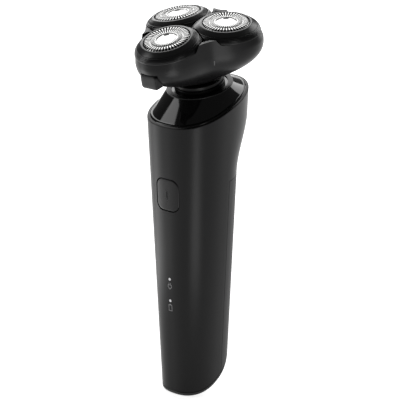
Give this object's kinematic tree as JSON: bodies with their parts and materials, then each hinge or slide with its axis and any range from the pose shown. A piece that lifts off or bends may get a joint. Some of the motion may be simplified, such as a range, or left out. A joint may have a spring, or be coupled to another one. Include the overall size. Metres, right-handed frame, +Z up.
{
  "type": "electric shaver",
  "caption": "Cordless rotary electric shaver: tapered oval handle with a front power button and rear grip, a floating lobed head and round slotted cutters in removable frames.",
  "frame": {"origin": "below the middle of the whole shaver, at the height of the lowest point of its curved base", "axes": "+Z up along the handle, front with the power button towards -Y, +X to the viewer's right when the front is seen; the cutting head leans 13 degrees towards -Y"},
  "size_m": [0.0561, 0.0569, 0.1682],
  "materials": {
    "shell": "satin black moulded plastic",
    "grip": "soft-touch dark rubber",
    "gloss_black": "high-gloss black plastic",
    "head_plastic": "satin black moulded plastic",
    "dark_plastic": "dark inner plastic",
    "pale_plastic": "natural acetal plastic",
    "seal": "sealing rubber",
    "frame": "grey lacquered plastic with fine rings",
    "collar": "polished thin ring",
    "steel": "stainless steel",
    "cutter_steel": "fine-ground stainless steel",
    "copper": "wound copper wire",
    "board": "green circuit board",
    "cell": "sleeved rechargeable cell",
    "magnet": "sintered magnet",
    "light": "clear light pipe"
  },
  "bodies": {
    "handle": {"body_shell": "shell", "rear_grip": "grip", "base_cap": "gloss_black", "base_seal": "seal", "charge_socket": "steel", "charge_board": "board", "button_seal": "seal", "circuit_board": "board", "button_switch": "dark_plastic", "light_pipes": "light", "chassis": "dark_plastic", "board_screws": "steel", "battery": "cell", "motor_can": "steel", "motor_end_cap": "dark_plastic", "motor_magnets": "magnet", "motor_screws": "steel", "top_plate": "gloss_black", "collar_ring": "collar", "neck": "gloss_black", "shaft_seal": "seal"},
    "button": {"power_button": "gloss_black"},
    "spindle": {"motor_shaft": "steel", "rotor": "copper", "drive_spindle": "pale_plastic"},
    "gimbal": {"gimbal_ring": "pale_plastic", "pitch_pins": "steel"},
    "head": {"head_shell": "head_plastic", "roll_pins": "steel", "gear_base": "dark_plastic", "hair_tray": "dark_plastic", "tray_screws": "steel"},
    "tab": {"release_tab": "head_plastic"},
    "gear": {"centre_gear": "pale_plastic"},
    "cover": {"cover_frame": "head_plastic", "retaining_rings": "dark_plastic", "cutter_frame_a": "frame", "cutter_frame_b": "frame", "cutter_frame_c": "frame"},
    "drive_a": {"drive_gear_a": "pale_plastic", "drive_pin_a": "pale_plastic", "pin_spring_a": "steel"},
    "cutter_a": {"guard_a": "cutter_steel"},
    "rotary_blade_a": {"blade_a": "cutter_steel"},
    "drive_b": {"drive_gear_b": "pale_plastic", "drive_pin_b": "pale_plastic", "pin_spring_b": "steel"},
    "cutter_b": {"guard_b": "cutter_steel"},
    "rotary_blade_b": {"blade_b": "cutter_steel"},
    "drive_c": {"drive_gear_c": "pale_plastic", "drive_pin_c": "pale_plastic", "pin_spring_c": "steel"},
    "cutter_c": {"guard_c": "cutter_steel"},
    "rotary_blade_c": {"blade_c": "cutter_steel"}
  },
  "joints": [
    {"name": "button_press", "type": "slide", "parent": "handle", "child": "button", "axis": [0, 1, 0], "range_m": [0, 0.0005], "stiffness_N_per_m": 4000},
    {"name": "motor_spin", "type": "hinge", "parent": "handle", "child": "spindle", "pos_m": [0, 0.0056, 0.137], "axis": [0, -0.225, 0.9744], "continuous": true},
    {"name": "head_pitch", "type": "hinge", "parent": "handle", "child": "gimbal", "pos_m": [0, 0.00358, 0.14577], "axis": [1, 0, 0], "range_deg": [-4, 4], "stiffness_Nm_per_rad": 1},
    {"name": "head_roll", "type": "hinge", "parent": "gimbal", "child": "head", "pos_m": [0, 0.00358, 0.14577], "axis": [0, 0.9744, 0.225], "range_deg": [-4, 4], "stiffness_Nm_per_rad": 1},
    {"name": "tab_press", "type": "slide", "parent": "head", "child": "tab", "axis": [0, 0.9744, 0.225], "range_m": [0, 0.0008], "stiffness_N_per_m": 3000},
    {"name": "centre_gear_spin", "type": "hinge", "parent": "head", "child": "gear", "pos_m": [0, 0.00223, 0.15162], "axis": [0, -0.225, 0.9744], "continuous": true},
    {"name": "cover_lift", "type": "slide", "parent": "head", "child": "cover", "axis": [0, -0.225, 0.9744], "range_m": [0, 0.015]},
    {"name": "drive_a_spin", "type": "hinge", "parent": "head", "child": "drive_a", "pos_m": [0, -0.01225, 0.14827], "axis": [0, -0.225, 0.9744], "continuous": true},
    {"name": "guard_a_float", "type": "slide", "parent": "cover", "child": "cutter_a", "axis": [0, 0.3371, -0.9415], "range_m": [0, 0.0008], "stiffness_N_per_m": 1500},
    {"name": "blade_a_spin", "type": "hinge", "parent": "cutter_a", "child": "rotary_blade_a", "pos_m": [0, -0.01591, 0.16128], "axis": [0, -0.3371, 0.9415], "continuous": true},
    {"name": "drive_b_spin", "type": "hinge", "parent": "head", "child": "drive_b", "pos_m": [0.01287, 0.00946, 0.15329], "axis": [0, -0.225, 0.9744], "continuous": true},
    {"name": "guard_b_float", "type": "slide", "parent": "cover", "child": "cutter_b", "axis": [-0.101, 0.1666, -0.9808], "range_m": [0, 0.0008], "stiffness_N_per_m": 1500},
    {"name": "blade_b_spin", "type": "hinge", "parent": "cutter_b", "child": "rotary_blade_b", "pos_m": [0.01342, 0.00674, 0.16651], "axis": [0.101, -0.1666, 0.9808], "continuous": true},
    {"name": "drive_c_spin", "type": "hinge", "parent": "head", "child": "drive_c", "pos_m": [-0.01287, 0.00946, 0.15329], "axis": [0, -0.225, 0.9744], "continuous": true},
    {"name": "guard_c_float", "type": "slide", "parent": "cover", "child": "cutter_c", "axis": [0.101, 0.1666, -0.9808], "range_m": [0, 0.0008], "stiffness_N_per_m": 1500},
    {"name": "blade_c_spin", "type": "hinge", "parent": "cutter_c", "child": "rotary_blade_c", "pos_m": [-0.01342, 0.00674, 0.16651], "axis": [-0.101, -0.1666, 0.9808], "continuous": true}
  ],
  "couplings": [
    {"joint": "centre_gear_spin", "follows": "motor_spin", "ratio": 1},
    {"joint": "drive_a_spin", "follows": "motor_spin", "ratio": -1.25},
    {"joint": "blade_a_spin", "follows": "motor_spin", "ratio": -1.25},
    {"joint": "drive_b_spin", "follows": "motor_spin", "ratio": -1.25},
    {"joint": "blade_b_spin", "follows": "motor_spin", "ratio": -1.25},
    {"joint": "drive_c_spin", "follows": "motor_spin", "ratio": -1.25},
    {"joint": "blade_c_spin", "follows": "motor_spin", "ratio": -1.25}
  ]
}
